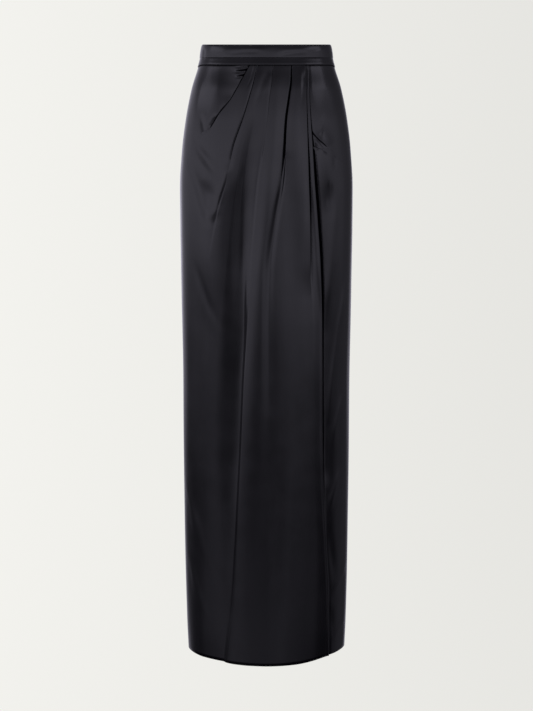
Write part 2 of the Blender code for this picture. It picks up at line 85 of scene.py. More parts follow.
# Where each fold line of the wrap front runs, right of the centre, one row a level
LINES = ("pleat_1", "fall", "valley", "pleat_2", "top", "pleat_3", "crest", "last_pleat", "free_edge")
LINE_X = (
    (36, -15, -9, -1, 12, 26, 46, 58, 66, 74),
    (60, -19, -12, -3, 11, 25, 46, 58, 66.5, 74.5),
    (90, -27, -20, -9, 7, 21, 43, 57, 67.5, 75),
    (130, -39, -31, -19, 3, 18, 38, 55, 68.5, 77),
    (180, -56, -42, -31, -5, 13, 35, 54, 69.5, 80.5),
    (240, -69, -52, -40, -14, 6, 30, 52, 71, 84),
    (300, -86, -61, -43, -20, 1, 20, 51, 73, 88.5),
    (400, -102, -72, -44, -28, -8, 8, 50, 75.5, 94),
    (500, -106, -82, -43, -34, -9, 6, 50, 78, 96),
    (600, -110, -88, -47, -40, -11, 6, 50, 80, 96),
    (700, -114, -92, -51, -44, -14, 7, 50, 81, 96.5),
    (800, -116, -95, -56, -48.5, -18, 7, 51, 84, 99),
    (900, -118, -98, -61, -53, -24, 8, 53, 88, 104),
    (1000, -120, -101, -68, -59, -36, 8, 54, 93, 109),
    (1116, -122, -104, -80, -72, -54, 8, 54, 96, 111),
)
# How far the wrap front stands off the body line there: first the left side seam
RELIEF = (
    (36, 0, 0, 0, 0, 0, 0, 0, 0, 0, 0),
    (60, 0, 0.5, 0.2, -0.3, 0.3, 0.8, 0.2, 0.8, 0.5, 0.5),
    (90, 0, 1, 0.4, -0.3, 0.4, 1.2, 0.5, 1.4, 1, 1),
    (130, 0, 1.2, 0.6, -0.3, 0.6, 1.8, 0.5, 2, 1.5, 1.5),
    (180, 0, 1.8, 1.3, -0.8, 0.8, 2.8, 0.5, 2.6, 2, 2),
    (240, 0, 2.6, 1.8, -2.4, 0.8, 4.6, 1.5, 3.2, 2.6, 2.5),
    (300, 0, 3.2, 1.6, -4.4, 1, 5.8, 3.4, 4.2, 3.6, 3),
    (400, 0, 3, 0.8, -7.4, 1.2, 7, 5.4, 6.2, 6, 5),
    (500, 0, 2.2, 0.6, -7.2, 1.4, 7.2, 6, 7.4, 8.4, 7),
    (600, 0, 2, 0.6, -7, 1.6, 6.8, 6, 7.6, 9, 8),
    (700, 0, 2, 0.6, -7, 1.8, 6.2, 5.6, 7.4, 9, 8),
    (800, 0, 2, 0.6, -6, 2, 5.6, 5, 7, 8.6, 7.5),
    (900, 0, 2, 0.4, -4.6, 2, 5, 4.4, 6.4, 8, 7),
    (1000, 0, 2, 0.2, -3.2, 2, 4.4, 4, 5.6, 6.6, 6),
    (1116, 0, 2, 0.2, -2.5, 1.6, 3.8, 3.6, 4.6, 5, 4.5),
)
# The pockets' slanted mouths, and the seams below them to the side: below, from the centre
POCKET_LEFT = ((36, 29), (60, 42), (95, 62), (118, 80), (149, 100), (175, 126), (207, 152))
POCKET_RIGHT = ((36, 30), (80, 42), (120, 58), (157, 82), (180, 104), (207, 132), (240, 155))
MOUTH_END = 4  # the row of either table at which its open mouth ends

# ---- the cloth
CLOTH = 0.0005  # its own thickness
# How an edge rolls over into its turning: past the edge, inwards
TURNING = ((0.28, 0.25), (0.36, 0.62), (0.20, 1.00), (-0.60, 1.25))
TURNING_FLAT = 1.35  # the turning then lies this far inside
HEM = 0.025
SEAM_TURNING = 0.012
MOUTH_TURNING = 0.008
EDGE_TURNING = 0.018  # at the free edge, and its most as a share of the way to the last pleat
EDGE_TURNING_SHARE = 0.8
TURNING_PARTS = (0.4, 1.0)  # where a turning has points, as shares of its width
SEAM_GAP = 0.0002  # a panel ends this far from the middle of its side seam
CENTRE_GAP = 0.0003
TUCK = 0.0012  # how far in a panel's top lies behind the waistband
WRAP_TUCK = 0.0006
TUCK_RUN = 0.010  # it ends over this depth

# The pleats' folded edges, one row a level: below, how high the upper layer lies over the
# lower one, how far it is folded back under, and the gap beside it: its depth and half width
PLEATS = {
    "pleat_1": (
        (30, 0.3, 3, 0, 2), (40, 0.8, 3, 0.8, 2),
        (60, 1.7, 3.2, 2.2, 2), (130, 2.2, 3.2, 3, 2),
        (180, 2, 3, 2.4, 2), (235, 1.4, 2, 1, 2.2),
        (270, 0.9, 0.8, 0.6, 2.5), (320, 0.4, 0, 0.2, 3),
        (380, 0, 0, 0, 3),
    ),
    "pleat_2": (
        (30, 0.3, 2.4, 0, 2), (40, 0.8, 2.4, 0.3, 2),
        (60, 1.4, 2.4, 0.8, 2), (90, 1.6, 2.4, 1, 2),
        (130, 1.6, 2.2, 1, 2), (170, 1.4, 1.2, 0.6, 2),
        (210, 1.3, 0.2, 0.3, 2.2), (300, 1.3, 0, 0.3, 2.5),
        (500, 1.2, 0, 0.2, 2.5), (800, 1, 0, 0, 2.5),
        (1116, 0.5, 0, 0, 2.5),
    ),
    "pleat_3": (
        (30, 0.3, 3.4, 0.2, 1.5), (40, 1.4, 3.5, 1.2, 1.5),
        (60, 2, 3.6, 3, 1.7), (90, 2.6, 3.8, 4.5, 1.9),
        (130, 3.2, 3.8, 5, 2), (180, 3.4, 3.2, 3.8, 2.3),
        (205, 2.6, 1.4, 2.8, 3), (235, 1.6, 0.4, 2.8, 4),
        (280, 0.8, 0, 2.8, 5), (340, 0.3, 0, 2.5, 6),
        (420, 0, 0, 2, 7), (520, 0, 0, 1.3, 8),
        (660, 0, 0, 0, 9),
    ),
    "last_pleat": (
        (30, 0.3, 3, 0.2, 1.5), (40, 1.4, 3, 1.2, 1.5),
        (60, 2.4, 3, 2.6, 1.6), (90, 3, 3, 3, 1.6),
        (130, 3.6, 3, 3.4, 1.8), (180, 4.6, 3.4, 4.6, 2.2),
        (240, 5.4, 3.6, 5.4, 2.8), (300, 5, 3.4, 5, 2.8),
        (380, 2.8, 2.4, 3.5, 2.5), (450, 0.4, 0.2, 0.6, 2.5),
        (550, 0, 0, 0, 2.5),
    ),
}
# On which side of the edge the upper layer lies: 1 for the right, -1 for the left
PLEAT_HIGH_SIDE = {"pleat_1": 1, "pleat_2": 1, "pleat_3": 1, "last_pleat": -1}
FOLD_SIZE = 2.0 * MM  # half the depth of cloth that turns round in a fold
FOLD_RISE = 0.6  # the share of it over which the upper layer comes up
GAP_AT = 2.4 * MM  # from the folded edge
PLEAT_REACH = 21 * MM  # how far its upper layer stays raised
FOLD_COLUMNS = (6.5, 5, 3.8, 2.9, 2.2, 1.6, 1.1, 0.55)  # on each side of a folded edge
ROOM_BEFORE, ROOM_AFTER = 1.6, 1.2  # with less room than this times their reach, they draw together
WRAP_PARTS = (26, 8, 9, 6, 8, 12, 12, 11, 9)  # columns before each line

# The wrap front's creases: height (below nought for a trough), its half width on the left
# and on the right, how much of its length it takes to start and to end, and its path as
# (below, right of the centre)
WRAP_CREASES = (
    (-1.8, 6, 10, 0.5, 0.5, ((150, -130), (184, -121), (200, -110), (218, -97), (244, -78))),
    (-2.8, 6, 15, 0.5, 0.25, ((190, -140), (240, -126), (266, -118), (292, -110), (326, -101))),
    (-1.2, 12, 12, 0.45, 0.45, ((232, -112), (262, -100), (296, -84))),
    (1.6, 7, 6, 0.2, 0.25, ((200, -62), (257, -79), (291, -89), (322, -102))),
    (1.2, 5, 5, 0.4, 0.3, ((262, -98), (290, -100), (316, -107))),
    (-0.4, 8, 7, 0.3, 0.4, ((375, -129), (426, -114), (464, -99), (510, -76))),
    (1.2, 14, 12, 0.4, 0.6, ((300, -108), (380, -104), (520, -97))),
    (-0.8, 14, 9, 0.35, 0.4, ((480, -54), (600, -60), (700, -64), (860, -68))),
    (0.6, 9, 9, 0.3, 0.4, ((780, -149), (866, -125), (915, -104))),
    (0.8, 11, 9, 0.3, 0.35, ((915, -144), (1002, -121), (1050, -103))),
    (0.6, 10, 10, 0.25, 0.4, ((830, -144), (918, -110), (985, -76))),
    (-0.8, 1.4, 1.2, 0.2, 0.6, ((37, -22), (60, -27), (84, -37))),
    (0.6, 1.4, 1.2, 0.2, 0.6, ((37, -19), (60, -24), (80, -33))),
    (0.4, 5, 4, 0.2, 0.5, ((48, 8), (71, 1), (90, -9))),
    (-0.5, 5, 5, 0.2, 0.5, ((46, 1), (90, -14), (122, -24))),
    (-0.7, 3, 3, 0.2, 0.5, ((44, 64), (81, 63), (115, 61))),
)
UNDER_CREASES = (
    (1.5, 12, 9, 0.25, 0.35, ((250, 124), (300, 121), (385, 116), (452, 108), (520, 103))),
    (0.9, 7, 5, 0.25, 0.35, ((400, 146), (500, 131), (590, 119), (665, 111), (705, 104))),
    (0.7, 7, 5, 0.3, 0.4, ((620, 140), (681, 126), (732, 118))),
    (0.9, 8, 6, 0.3, 0.4, ((760, 136), (828, 116), (855, 107))),
    (0.9, 9, 7, 0.3, 0.4, ((945, 147), (1006, 117))),
    (0.7, 8, 7, 0.3, 0.4, ((1050, 146), (1090, 116))),
    (-1.2, 8, 9, 0.45, 0.45, ((705, 103), (800, 109))),
    (-1.4, 9, 11, 0.45, 0.45, ((860, 112), (985, 126))),
    (-0.9, 8, 9, 0.45, 0.45, ((1010, 116), (1075, 120))),
    (0.8, 4, 4, 0.3, 0.3, ((164, 82), (178, 95), (192, 108))),
    (4.4, 20, 20, 0.3, 0.7, ((146, 90), (182, 104), (300, 113))),
    (-0.7, 5, 5, 0.4, 0.45, ((192, 118), (205, 121), (226, 119))),
    (-0.5, 2, 2, 0.4, 0.4, ((236, 109), (290, 109))),
    (-0.4, 2, 2, 0.4, 0.4, ((240, 116), (288, 116))),
)
LEFT_HIP_CREASES = (
    (-2.4, 6, 6, 0.45, 0.35, ((122, -85), (142, -96), (154, -104))),
    (-1.8, 4.5, 5, 0.4, 0.4, ((118, -117), (146, -112), (172, -105))),
    (-0.9, 1.6, 1.6, 0.6, 0.1, ((39, -60), (39.5, -44), (38, -27))),
    (0.6, 1.6, 1.6, 0.6, 0.1, ((43.5, -60), (43, -46), (41, -30))),
    (-0.9, 1.6, 1.6, 0.6, 0.1, ((48, -60), (47.5, -46), (45, -32))),
    (0.6, 1.6, 1.6, 0.6, 0.1, ((53, -60), (52, -48), (50, -36))),
    (-0.8, 1.8, 1.8, 0.6, 0.1, ((58, -58), (57, -50), (55, -39))),
)
RIGHT_HIP_CREASES = (
    (-0.9, 4, 5, 0.5, 0.35, ((120, 103), (146, 97), (166, 94))),
)
# The left hip turns in from this upright line towards the pocket's mouth: below, how deep
LEFT_TURN_X = -86
LEFT_TURN = ((38, 0.5), (50, 4), (68, 7), (85, 7.5), (105, 4.5), (125, 2), (142, 0.4), (160, 0))
LEFT_TURN_LEAST = 0.006  # its least width
LEFT_TURN_SOFT = 0.10  # the share of its width over which it sets in
# The soft roll of the wrap's free edge: how far inside the edge its crest is, its half width
# and its height, each with how much it grows between two depths
EDGE_ROLL = ((1.8, 2.2), (2.2, 2.2), (1.2, 1.0))
ROLL_GROWS = (0.14, 0.38)
ROLL_GROWS_OVER = 0.10
ROLL_STARTS_OVER = 0.030
# How far the cloth behind the wrap's free edge lies in, and over what width it comes out again
BEHIND_EDGE = (
    (36, 1.2, 4), (60, 3.2, 4), (134, 4.2, 5), (180, 6, 7), (240, 9.5, 9), (300, 12, 9),
    (400, 14, 9), (520, 14, 8), (650, 13, 9), (730, 12, 10), (790, 8.5, 10), (850, 5, 9),
    (930, 3.6, 10), (1000, 3, 12), (1116, 2.2, 14),
)
BEHIND_FLAT = 0.0018  # it first lies level for this far past the edge, lower down
BEHIND_FLAT_FROM = (0.20, 0.12)  # where that starts, and its run
BEHIND_FLAT_TO = (0.90, 0.15)  # where it ends, and its run
BEHIND_SUNK = 0.0060  # how much further in it lies well behind the wrap
BEHIND_SUNK_OVER = (0.022, 0.035)  # the width and the depth over which it gets there
# How far the hem hangs higher at the sides, and at the wrap's free corner
HEM_FROM = 0.62  # the share of the length where that starts
HEM_RISE = 0.0055
CORNER_RISE = 0.0040
CORNER_REACH = 0.030


# ---- tables and curves
def monotone(xs, ys, x):
    """Smooth values between a table's rows, which never overshoot them."""
    xs, ys = np.asarray(xs, float), np.asarray(ys, float)
    step = np.diff(xs)
    slope = np.diff(ys) / step
    inner = np.zeros(len(xs) - 2)
    same = slope[1:] * slope[:-1] > 0
    inner[same] = 2 / (1 / slope[1:][same] + 1 / slope[:-1][same])
    grade = np.concatenate([slope[:1], inner, slope[-1:]])
    x = np.clip(x, xs[0], xs[-1])
    i = np.clip(np.searchsorted(xs, x) - 1, 0, len(step) - 1)
    t = (x - xs[i]) / step[i]
    rise = grade[i] * step[i] * t * (1 - t) ** 2 - grade[i + 1] * step[i] * t**2 * (1 - t)
    return ys[i] * (1 + 2 * t) * (1 - t) ** 2 + ys[i + 1] * t**2 * (3 - 2 * t) + rise


def column(table, which, below):
    """One column of a table in mm, read at depths in metres."""
    rows = np.asarray(table, float)
    return monotone(rows[:, 0] * MM, rows[:, which], below)


def smooth(t):
    """From 0 to 1 with level ends."""
    t = np.clip(t, 0, 1)
    return t * t * (3 - 2 * t)


class Ring:
    """The body line at one level. Places on it are arc lengths from the front centre,
    positive towards +X, and `out` is the distance outwards."""

    STEPS = 1441
    ALONG = 0.001

    def __init__(self, below):
        half_width, front, back = (column(SECTIONS, k, below) * MM for k in (1, 2, 3))
        power = 2 / column(SECTIONS, 4, below)
        turn = np.linspace(-math.pi, math.pi, self.STEPS)
        sine, cosine = np.sin(turn), np.cos(turn)
        depth = np.where(cosine > 0, front, back)
        self.x = half_width * np.sign(sine) * np.abs(sine) ** power
        self.y = -depth * np.sign(cosine) * np.abs(cosine) ** power
        run = np.hypot(np.diff(self.x), np.diff(self.y))
        length = np.concatenate([[0], np.cumsum(run)])
        self.place = length - length[self.STEPS // 2]
        self.half = self.place[-1]
        self.side = np.interp(math.pi / 2, turn, self.place)
        self.front = np.abs(turn) <= math.pi / 2

    def from_x(self, x):
        return np.interp(x, self.x[self.front], self.place[self.front])

    def points(self, place, out):
        """World x and y at places round the ring, pushed outwards by out."""

        def at(place):
            place = (place + self.half) % (2 * self.half) - self.half
            return np.interp(place, self.place, self.x), np.interp(place, self.place, self.y)

        place = np.asarray(place, float)
        (x, y), (x0, y0), (x1, y1) = at(place), at(place - self.ALONG), at(place + self.ALONG)
        size = np.hypot(x1 - x0, y1 - y0)
        return x + out * (y1 - y0) / size, y - out * (x1 - x0) / size


@functools.cache
def ring(below):
    return Ring(min(max(below, 0.0), LENGTH))


def places_of(xs, belows):
    """The places at some levels, as a column, of points so far from the centre in x."""
    return np.array([ring(d).from_x(x) for d, x in zip(belows, xs)])[:, None]


def line_places(name, belows):
    """Where a fold line of the wrap front is at each level."""
    return places_of(column(LINE_X, 1 + LINES.index(name), belows) * MM, belows)


def side_places(way, belows):
    return np.array([way * ring(d).side for d in belows])[:, None]


def back_places(way, belows):
    return np.array([way * ring(d).half for d in belows])[:, None]


def pocket_places(table, way, belows):
    """Where a pocket's mouth, or the seam below it, is; the side seam under that."""
    rows = np.asarray(table, float) * MM
    places = [ring(d).from_x(way * x) for d, x in rows[:-1]]
    places.append(way * ring(rows[-1, 0]).side)
    on_seam = monotone(rows[:, 0], places, belows)[:, None]
    return np.where(belows[:, None] < rows[-1, 0], on_seam, side_places(way, belows))


def crease(row, to_place, below, place):
    """One crease of a table at every point: a trough or a ridge along its path."""
    height, left, right, starts, ends, path = row
    stops = [(d * MM, to_place(d * MM, x * MM)) for d, x in path]
    lengths = [math.hypot(b[0] - a[0], b[1] - a[1]) for a, b in zip(stops, stops[1:])]
    nearest = np.full(place.shape, np.inf)
    aside, along = np.zeros_like(place), np.zeros_like(place)
    run = 0.0
    for (d0, s0), (d1, s1), length in zip(stops, stops[1:], lengths):
        down, across = (d1 - d0) / length, (s1 - s0) / length
        t = np.clip((place - s0) * across + (below - d0) * down, 0, length)
        off_s, off_d = place - s0 - t * across, below - d0 - t * down
        far = np.hypot(off_s, off_d)
        closer = far < nearest
        nearest = np.where(closer, far, nearest)
        aside = np.where(closer, off_s * down - off_d * across, aside)
        along = np.where(closer, run + t, along)
        run += length
    share = along / run
    width = np.where(aside < 0, left, right) * MM
    held = smooth(share / starts) * smooth((1 - share) / ends)
    return height * MM * held * np.exp(-((nearest / width) ** 2))


def front_place(below, x):
    return ring(below).from_x(x)


def back_place(below, round_from_centre):
    """A place on the back, from its distance round from the centre back, towards +X."""
    return ring(below).half - round_from_centre


def creases(table, below, place, to_place=front_place):
    return sum(crease(row, to_place, below, place) for row in table)


# Waves that keep a wide panel from lying dead flat: height, length across, length down, turn
WAVES = (
    (0.24, 83, 1300, 0.3),
    (0.14, 47, -900, 1.9),
    (0.08, 31, 640, 4.1),
    (0.1, 190, -230, 2.2),
)
WAVES_RUN = 0.040  # they set in over this depth below the waistband
UNDER_WAVES = 0.8  # the under front's share of them


def waves(below, place, strength=1.0):
    out = np.zeros_like(place)
    for height, across, down, turn in WAVES:
        out += height * MM * np.sin(2 * math.pi * (place / across + below / down) / MM + turn)
    return strength * out * smooth((below - BAND_HEIGHT) / WAVES_RUN)


# ---- the panels' forms: each gives the places and how far out they are
def wrap_ground(belows, place):
    """The wrap front's form without its pleats' folded edges."""
    below = belows[:, None]
    at = np.hstack([side_places(-1, belows)] + [line_places(name, belows) for name in LINES])
    relief = np.stack([column(RELIEF, k, belows) for k in range(1, len(LINES) + 2)], 1) * MM
    out = np.array([monotone(a, r, p) for a, r, p in zip(at, relief, place)])
    return out + creases(WRAP_CREASES, below, place) + waves(below, place)


def wrap_shape(belows, place):
    below = belows[:, None]
    out = wrap_ground(belows, place)
    out += lap(below, pocket_places(POCKET_LEFT, -1, belows) - place, POCKET_LEFT)
    moved = place.copy()
    for name, table in PLEATS.items():
        height, fold, gap, gap_width = (column(table, k, belows)[:, None] * MM for k in range(1, 5))
        way = PLEAT_HIGH_SIDE[name]
        on = way * (place - line_places(name, belows))
        turn = on / FOLD_SIZE
        moved -= way * fold * turn * np.exp((1 - turn**2) / 2)
        rise = 0.5 + 0.5 * np.tanh(turn / FOLD_RISE)
        out += height * rise * np.exp(-((np.maximum(on, 0) / PLEAT_REACH) ** 2))
        out -= gap * np.exp(-(((on + GAP_AT) / gap_width) ** 2))
    return moved, out + edge_roll(below, place, line_places("free_edge", belows))


def edge_roll(below, place, edge):
    """The free edge is a soft roll, which stands out a little from the strip beside it."""
    first, last = ROLL_GROWS
    grown = smooth((below - first) / ROLL_GROWS_OVER) * (1 - smooth((below - last) / ROLL_GROWS_OVER))
    inside, half_width, height = (MM * (least + more * grown) for least, more in EDGE_ROLL)
    held = smooth((below - BAND_HEIGHT) / ROLL_STARTS_OVER)
    return height * held * np.exp(-(((place - edge + inside) / half_width) ** 2))


def behind_edge(belows, place):
    """The cloth that the wrap's free edge lies on: in beneath it, then out again."""
    below = belows[:, None]
    edge = line_places("free_edge", belows)
    depth, width = (column(BEHIND_EDGE, k, belows)[:, None] * MM for k in (1, 2))
    across, down = BEHIND_SUNK_OVER
    hidden = smooth((edge - place) / across) * smooth((below - BAND_HEIGHT) / down)
    (starts, grows), (ends, fades) = BEHIND_FLAT_FROM, BEHIND_FLAT_TO
    flat = BEHIND_FLAT * smooth((below - starts) / grows) * smooth((ends - below) / fades)
    return -depth * (1 - smooth((place - edge - flat) / width)) - BEHIND_SUNK * hidden


# Below a pocket's mouth the cloth laps over the hip piece and sinks into it without an edge
LAP = 0.014
LAP_OVER = 0.00015
LAP_LEVEL = 0.0075
LAP_SUNK = 0.0012
MOUTH_CLOSES = 0.004  # the depth below the mouth's end over which it shuts
# The facing behind a mouth: its gap, and how much wider it is where the mouth is open; how far
# before the mouth's edge it drops, and over what width; the depth over which the gap narrows
FACING_GAP = (0.0004, 0.0026)
FACING_DROP = (0.0035, 0.004)
FACING_NARROWS = 0.010


def mouth_shut(below, table):
    """It is 0 down to the end of a pocket's mouth, and 1 below it."""
    return smooth((below - table[MOUTH_END][0] * MM) / MOUTH_CLOSES)


def lap(below, past, table):
    """How far out the lapping cloth lies, at a distance past its seam."""
    deep = np.maximum((past - LAP_LEVEL) / (LAP - LAP_LEVEL), 0)
    over = LAP_OVER * (1 - past / LAP_LEVEL) - LAP_SUNK * deep**2
    return mouth_shut(below, table) * np.where(past > 0, over, 0)


def lap_edge(table, way, belows):
    """The edge of the lapping cloth: at the mouth, and below it further on past the seam."""
    past = LAP * mouth_shut(belows, table) * (belows < table[-1][0] * MM)
    return pocket_places(table, way, belows) + way * past[:, None]


def behind_mouth(below, past, table):
    """How far in a pocket's facing lies, at a distance past its mouth's edge."""
    (shut, wider), (starts, run) = FACING_GAP, FACING_DROP
    opened = smooth((table[MOUTH_END][0] * MM + MOUTH_CLOSES - below) / FACING_NARROWS)
    return (shut + wider * opened) * smooth((past + starts) / run)


def under_ground(belows, place):
    below = belows[:, None]
    out = behind_edge(belows, place) + creases(UNDER_CREASES, below, place)
    return out + waves(below, place, UNDER_WAVES)


def under_shape(belows, place):
    past = place - pocket_places(POCKET_RIGHT, 1, belows)
    return place, under_ground(belows, place) + lap(belows[:, None], past, POCKET_RIGHT)


def left_hip_shape(belows, place):
    """The left hip: it turns in towards the pocket's mouth and goes on behind the wrap."""
    below = belows[:, None]
    mouth = pocket_places(POCKET_LEFT, -1, belows)
    turn = places_of(np.full(len(belows), LEFT_TURN_X * MM), belows)
    depth = column(LEFT_TURN, 1, belows)[:, None] * MM
    share = np.clip((place - turn) / np.maximum(mouth - turn, LEFT_TURN_LEAST), 0, 1)
    out = -depth * (share + LEFT_TURN_SOFT * (np.exp(-share / LEFT_TURN_SOFT) - 1))
    out -= behind_mouth(below, place - mouth, POCKET_LEFT)
    return place, out + creases(LEFT_HIP_CREASES, below, place) + wrap_ground(belows, place)


def right_hip_shape(belows, place):
    below = belows[:, None]
    past = pocket_places(POCKET_RIGHT, 1, belows) - place
    out = under_ground(belows, place) - behind_mouth(below, past, POCKET_RIGHT)
    return place, out + creases(RIGHT_HIP_CREASES, below, place)


BACK_CREASES = (
    # height, left, right, starts, ends, path as (below, round from the centre back)
    (-2.5, 20, 20, 0.3, 0.3, ((130, 95), (420, 80))),
    (3.5, 22, 22, 0.3, 0.3, ((300, 150), (760, 95))),
    (-4, 18, 22, 0.3, 0.1, ((520, 62), (800, 68), (1190, 72))),
    (4, 18, 18, 0.3, 0.1, ((640, 120), (1190, 133))),
    (-2.5, 20, 20, 0.3, 0.3, ((160, -105), (460, -88))),
    (3.5, 22, 22, 0.3, 0.3, ((360, -155), (820, -110))),
    (-4.5, 22, 18, 0.3, 0.1, ((560, -70), (1190, -60))),
    (3.5, 18, 18, 0.3, 0.1, ((700, -128), (1190, -118))),
    (-1.2, 6, 5, 0.3, 0.5, ((175, 150), (230, 118), (268, 92))),
    (-1, 5, 6, 0.3, 0.5, ((190, -160), (236, -128), (290, -96))),
    (1.4, 8, 6, 0.3, 0.4, ((360, 40), (480, 58), (590, 82))),
    (-1.3, 6, 8, 0.3, 0.4, ((430, -30), (560, -46), (690, -52))),
    (1.6, 8, 8, 0.3, 0.4, ((820, -170), (930, -128), (1010, -95))),
    (1.5, 9, 7, 0.3, 0.4, ((860, 168), (960, 140), (1060, 100))),
    (-0.8, 3, 3, 0.2, 0.5, ((212, 8), (238, 22), (262, 30))),
    (-0.7, 3, 3, 0.2, 0.5, ((214, -7), (236, -18), (270, -34))),
)
DART_ROUND = 0.052
DART_LENGTH = 0.110
DART_HOLLOW = (0.0010, 0.006)  # how deep, and its half width
DART_LINE = (0.0009, 0.0008)  # the same of its seam, in its middle
CENTRE_FLAT = 0.030  # the back lies flat this near its centre seam


def back_shape(belows, place):
    below = belows[:, None]
    half = back_places(1, belows)
    from_centre = np.where(place > 0, half - place, -half - place)
    out = creases(BACK_CREASES, below, np.where(place > 0, place, place + 2 * half), back_place)
    out = (out + waves(below, place)) * smooth(np.abs(from_centre) / CENTRE_FLAT)
    fade = smooth((DART_LENGTH - (below - BAND_HEIGHT)) / DART_LENGTH)
    (hollow, hollow_width), (line, line_width) = DART_HOLLOW, DART_LINE
    for way in (-1, 1):
        aside = np.abs(from_centre - way * DART_ROUND)
        out -= fade * (hollow * np.exp(-((aside / hollow_width) ** 2)) + line * np.exp(-aside / line_width))
    return place, out


# ---- building pieces
def skin(mesh, grid):
    """The faces between the rows of a grid of points."""
    for upper, lower in zip(grid, grid[1:]):
        for c in range(len(upper) - 1):
            mesh.faces.new((upper[c], lower[c], lower[c + 1], upper[c + 1]))


def closed(loops):
    """Loops of points as rows that end where they start."""
    return [loop + loop[:1] for loop in loops]


def add_piece(name, mesh, finishes):
    """An object of the scene, made from a finished mesh."""
    data = bpy.data.meshes.new(name)
    mesh.to_mesh(data)
    mesh.free()
    data.shade_smooth()
    for finish in finishes:
        data.materials.append(finish)
    piece = bpy.data.objects.new(name, data)
    bpy.context.scene.collection.objects.link(piece)
    return piece


def cloth_piece(name, node, mesh, finishes):
    """A piece of cloth from its outer face, which stands for a node."""
    piece = add_piece(name, mesh, finishes)
    wall = piece.modifiers.new("cloth", "SOLIDIFY")
    wall.thickness = CLOTH
    wall.offset = -1
    wall.use_even_offset = False
    wall.material_offset = 1
    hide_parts(node)
    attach(piece, "root")
    return piece


def turned(width, way):
    """The offsets and insets of columns or rows over an edge and back along its turning."""
    rolled = [(way * past * MM, inset * MM) for past, inset in TURNING]
    return rolled + [(-way * width * share, TURNING_FLAT * MM) for share in TURNING_PARTS]


def rows_of(top, bottom, spacing, hem):
    """Depths from top to bottom, closer together near the waist, with the hem's turning, and
    the rows' insets."""
    levels, gaps = zip(*spacing)
    depths = [top]
    while depths[-1] < bottom:
        depths.append(depths[-1] + np.interp(depths[-1], levels, gaps))
    depths = top + (np.array(depths) - top) * (bottom - top) / (depths[-1] - top)
    added = turned(hem, 1) if hem else []
    insets = [0.0] * len(depths) + [inset for _, inset in added]
    return np.concatenate([depths, [bottom + offset for offset, _ in added]]), np.array(insets)


SPACING = ((0.03, 0.0025), (0.25, 0.003), (0.4, 0.005), (1.2, 0.0062))


def spread(first, last, parts):
    """Evenly spaced places from one column to another, without the first."""
    return first + (last - first) * np.arange(1, parts + 1) / parts


def with_turnings(place, left, right):
    """A panel's places with a turning added on either side, and the columns' insets."""
    columns, insets = [place], [0.0] * place.shape[1]
    if left is not None:
        added = turned(left, -1)[::-1]
        columns = [place[:, :1] + offset for offset, _ in added] + columns
        insets = [inset for _, inset in added] + insets
    if right is not None:
        added = turned(right, 1)
        columns += [place[:, -1:] + offset for offset, _ in added]
        insets += [inset for _, inset in added]
    return np.hstack(columns), np.array(insets)


def hem_rise(below, x, corner):
    """How far the cloth hangs higher near the hem: at the sides, and at the free corner."""
    near = smooth((below / LENGTH - HEM_FROM) / (1 - HEM_FROM))
    aside = x / (SECTIONS[-1][1] * MM)
    rise = HEM_RISE * np.minimum(aside**2, 1)
    if corner:
        edge = LINE_X[-1][-1] * MM
        rise = rise + CORNER_RISE * np.exp(-((np.minimum(x - edge, 0) / CORNER_REACH) ** 2))
    return near * rise


def make_cloth(name, node, rows, columns, shape, finishes, tuck=TUCK, corner=False):
    """A panel from its shape, its rows' depths and its columns' places, each with insets."""
    (belows, row_insets), (place, column_insets) = rows, columns
    place, out = shape(belows, place)
    out = out - row_insets[:, None] - column_insets[None, :]
    out = out - tuck * (1 - smooth((belows[:, None] - PANEL_TOP) / TUCK_RUN))
    mesh = bmesh.new()
    grid = []
    for below, row_place, row_out in zip(belows, place, out):
        x, y = ring(below).points(row_place, row_out)
        z = hem_rise(below, x, corner) - below
        grid.append([mesh.verts.new(point) for point in zip(x, y, z)])
    skin(mesh, grid)
    return cloth_piece(name, node, mesh, finishes)


def make_wrap(finishes):
    """The wrap front. Its columns follow its lines, and are closer together at the pleats."""
    rows = rows_of(PANEL_TOP, LENGTH, SPACING, HEM)
    lines = [line_places(name, rows[0]) for name in LINES]
    offsets = np.array(FOLD_COLUMNS) * MM
    last = lap_edge(POCKET_LEFT, -1, rows[0])
    columns = [last]
    for k, (name, parts) in enumerate(zip(LINES, WRAP_PARTS)):
        near = line = lines[k]
        if name in PLEATS:
            before = np.minimum(1, (line - last) / (ROOM_BEFORE * offsets[0]))
            after = np.minimum(1, (lines[k + 1] - line) / (ROOM_AFTER * offsets[0]))
            near = np.hstack([line - before * offsets, line, line + after * offsets[::-1]])
        columns += [spread(last, near[:, :1], parts), near[:, 1:]]
        last = near[:, -1:]
    strip = np.minimum(EDGE_TURNING_SHARE * (lines[-1] - lines[-2]), EDGE_TURNING)
    columns = with_turnings(np.hstack(columns), MOUTH_TURNING, strip)
    return make_cloth("wrap_cloth", "front_wrap", rows, columns, wrap_shape, finishes, WRAP_TUCK, True)


UNDER_PARTS = (14, 60)  # columns of its hidden part, and of the rest
UNDER_HIDDEN = 0.006  # the hidden part's columns end this far behind the free edge, or at a
UNDER_HIDDEN_SHARE = 0.6  # share of the panel's width where that comes first


